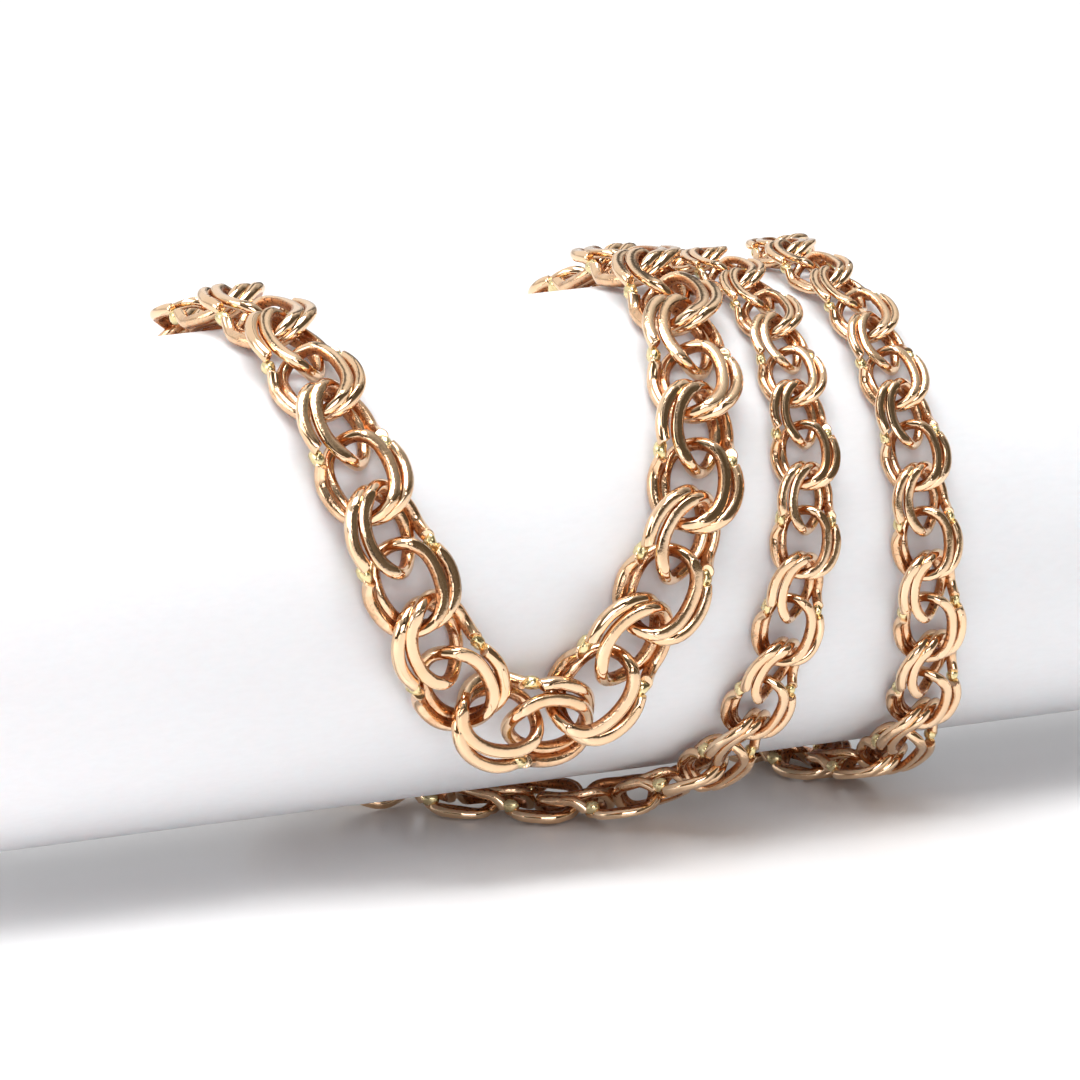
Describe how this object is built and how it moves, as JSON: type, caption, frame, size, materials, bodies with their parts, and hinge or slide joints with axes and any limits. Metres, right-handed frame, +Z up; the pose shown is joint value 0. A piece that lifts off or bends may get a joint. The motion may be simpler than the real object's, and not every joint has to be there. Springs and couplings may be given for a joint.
{
  "type": "graduated double-ring chain necklace on a display roll",
  "caption": "Graduated gold chain necklace of soldered double-ring links, closed by a clasp and laid doubled over a plain white card display roll.",
  "frame": {"origin": "on the table, under the middle of the whole display's box", "axes": "+X along the roll, -Y the front that shows the biggest link, +Z up"},
  "size_m": [0.126, 0.0436, 0.0433],
  "materials": {
    "card": "white satin card",
    "gold": "rose-yellow gold with ground bright faces"
  },
  "bodies": {
    "root": {"roll": "card", "chain_left": "gold", "chain_right": "gold", "clasp": "gold"}
  },
  "joints": []
}
